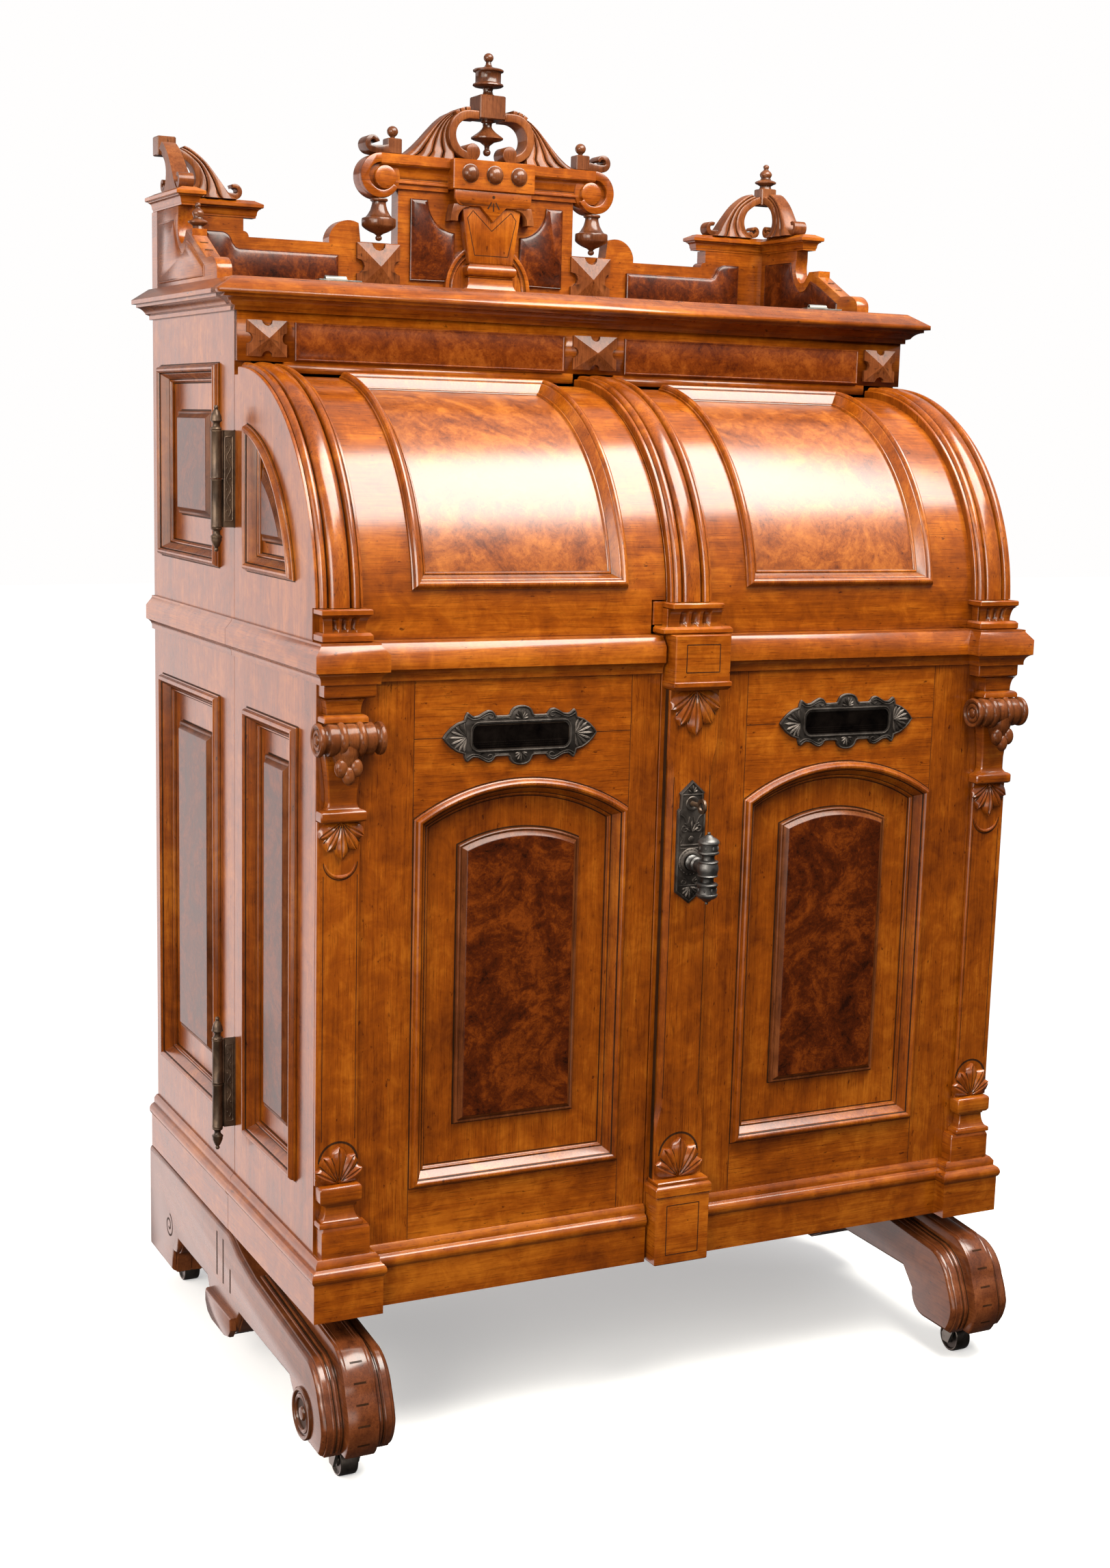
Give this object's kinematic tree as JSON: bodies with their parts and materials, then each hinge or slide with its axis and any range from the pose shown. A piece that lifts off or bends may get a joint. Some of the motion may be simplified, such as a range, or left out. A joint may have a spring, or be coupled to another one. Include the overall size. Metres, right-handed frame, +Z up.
{
  "type": "cabinet secretary desk",
  "caption": "Tall walnut secretary with box-like doors under quarter-round tops, a hinged frieze flap, crested gallery and trestle feet on casters; opens to shelves and pigeonholes.",
  "frame": {"origin": "centre of the box on the floor", "axes": "X to the right seen from the front, front faces -Y, Z up"},
  "size_m": [1.0692, 0.782, 1.834],
  "materials": {
    "walnut": "polished walnut",
    "burl": "polished burl veneer",
    "inner_wood": "oiled pale wood",
    "bronze": "dark patinated bronze",
    "iron": "dark cast iron",
    "steel": "worn steel"
  },
  "bodies": {
    "carcass": {"carcass_back": "inner_wood", "carcass_bottom": "inner_wood", "carcass_frames": "walnut", "carcass_hinges": "bronze", "carcass_interior": "inner_wood", "carcass_left_side": "walnut", "carcass_mouldings": "walnut", "carcass_panels": "burl", "carcass_right_side": "walnut", "carcass_top": "walnut", "gallery_board": "walnut", "gallery_caps": "walnut", "gallery_finials": "walnut", "gallery_panels": "burl", "gallery_returns": "walnut", "gallery_scrolls": "walnut", "gallery_tablet": "walnut", "interior_drawers": "inner_wood", "left_trestle": "walnut", "right_trestle": "walnut", "stretcher": "walnut", "writing_fall": "inner_wood"},
    "left_door": {"left_door_cylinder": "walnut", "left_door_frames": "walnut", "left_door_front": "walnut", "left_door_hinges": "bronze", "left_door_mouldings": "walnut", "left_door_panels": "burl", "left_door_shelves": "inner_wood", "left_door_side": "walnut", "left_letter_plate": "bronze", "left_pilaster": "walnut"},
    "right_door": {"centre_pilaster": "walnut", "lock_plate": "bronze", "right_door_cylinder": "walnut", "right_door_frames": "walnut", "right_door_front": "walnut", "right_door_hinges": "bronze", "right_door_mouldings": "walnut", "right_door_panels": "burl", "right_door_shelves": "inner_wood", "right_door_side": "walnut", "right_letter_plate": "bronze", "right_pilaster": "walnut"},
    "letter_flap": {"letter_flap": "bronze"},
    "handle": {"handle": "bronze"},
    "latch_bolt": {"latch_bolt": "steel"},
    "key": {"key": "bronze"},
    "top_flap": {"top_flap": "walnut", "frieze_panels": "burl", "frieze_blocks": "walnut", "flap_hinges": "steel"},
    "left_front_caster_fork": {"left_front_caster_fork": "iron"},
    "left_front_caster_wheel": {"left_front_caster_wheel": "iron"},
    "left_rear_caster_fork": {"left_rear_caster_fork": "iron"},
    "left_rear_caster_wheel": {"left_rear_caster_wheel": "iron"},
    "right_front_caster_fork": {"right_front_caster_fork": "iron"},
    "right_front_caster_wheel": {"right_front_caster_wheel": "iron"},
    "right_rear_caster_fork": {"right_rear_caster_fork": "iron"},
    "right_rear_caster_wheel": {"right_rear_caster_wheel": "iron"}
  },
  "joints": [
    {"name": "left_door_swing", "type": "hinge", "parent": "carcass", "child": "left_door", "pos_m": [-0.527, 0.0081, 0.8], "axis": [0, 0, -1], "range_deg": [0, 110]},
    {"name": "right_door_swing", "type": "hinge", "parent": "carcass", "child": "right_door", "pos_m": [0.527, 0.0081, 0.8], "axis": [0, 0, 1], "range_deg": [0, 110]},
    {"name": "top_flap_lift", "type": "hinge", "parent": "carcass", "child": "top_flap", "pos_m": [0, 0.0122, 1.472], "axis": [-1, 0, 0], "range_deg": [0, 100]},
    {"name": "letter_flap_swing", "type": "hinge", "parent": "left_door", "child": "letter_flap", "pos_m": [-0.2385, -0.305, 0.93225], "axis": [1, 0, 0], "range_deg": [0, 70]},
    {"name": "handle_turn", "type": "hinge", "parent": "right_door", "child": "handle", "pos_m": [0, -0.33, 0.747], "axis": [0, 1, 0], "range_deg": [0, 90]},
    {"name": "latch_slide", "type": "slide", "parent": "right_door", "child": "latch_bolt", "axis": [-1, 0, 0], "range_m": [0, 0.016]},
    {"name": "key_turn", "type": "hinge", "parent": "right_door", "child": "key", "pos_m": [0, -0.33, 0.823], "axis": [0, 1, 0], "range_deg": [0, 90]},
    {"name": "left_front_caster_swivel", "type": "hinge", "parent": "carcass", "child": "left_front_caster_fork", "pos_m": [-0.467, -0.334, 0.048], "axis": [0, 0, 1], "continuous": true},
    {"name": "left_front_caster_roll", "type": "hinge", "parent": "left_front_caster_fork", "child": "left_front_caster_wheel", "pos_m": [-0.467, -0.322, 0.021], "axis": [1, 0, 0], "continuous": true},
    {"name": "left_rear_caster_swivel", "type": "hinge", "parent": "carcass", "child": "left_rear_caster_fork", "pos_m": [-0.467, 0.338, 0.048], "axis": [0, 0, 1], "continuous": true},
    {"name": "left_rear_caster_roll", "type": "hinge", "parent": "left_rear_caster_fork", "child": "left_rear_caster_wheel", "pos_m": [-0.467, 0.35, 0.021], "axis": [1, 0, 0], "continuous": true},
    {"name": "right_front_caster_swivel", "type": "hinge", "parent": "carcass", "child": "right_front_caster_fork", "pos_m": [0.467, -0.334, 0.048], "axis": [0, 0, 1], "continuous": true},
    {"name": "right_front_caster_roll", "type": "hinge", "parent": "right_front_caster_fork", "child": "right_front_caster_wheel", "pos_m": [0.467, -0.322, 0.021], "axis": [1, 0, 0], "continuous": true},
    {"name": "right_rear_caster_swivel", "type": "hinge", "parent": "carcass", "child": "right_rear_caster_fork", "pos_m": [0.467, 0.338, 0.048], "axis": [0, 0, 1], "continuous": true},
    {"name": "right_rear_caster_roll", "type": "hinge", "parent": "right_rear_caster_fork", "child": "right_rear_caster_wheel", "pos_m": [0.467, 0.35, 0.021], "axis": [1, 0, 0], "continuous": true}
  ],
  "couplings": [
    {"joint": "latch_slide", "follows": "handle_turn", "m_per_rad": 0.010186}
  ]
}
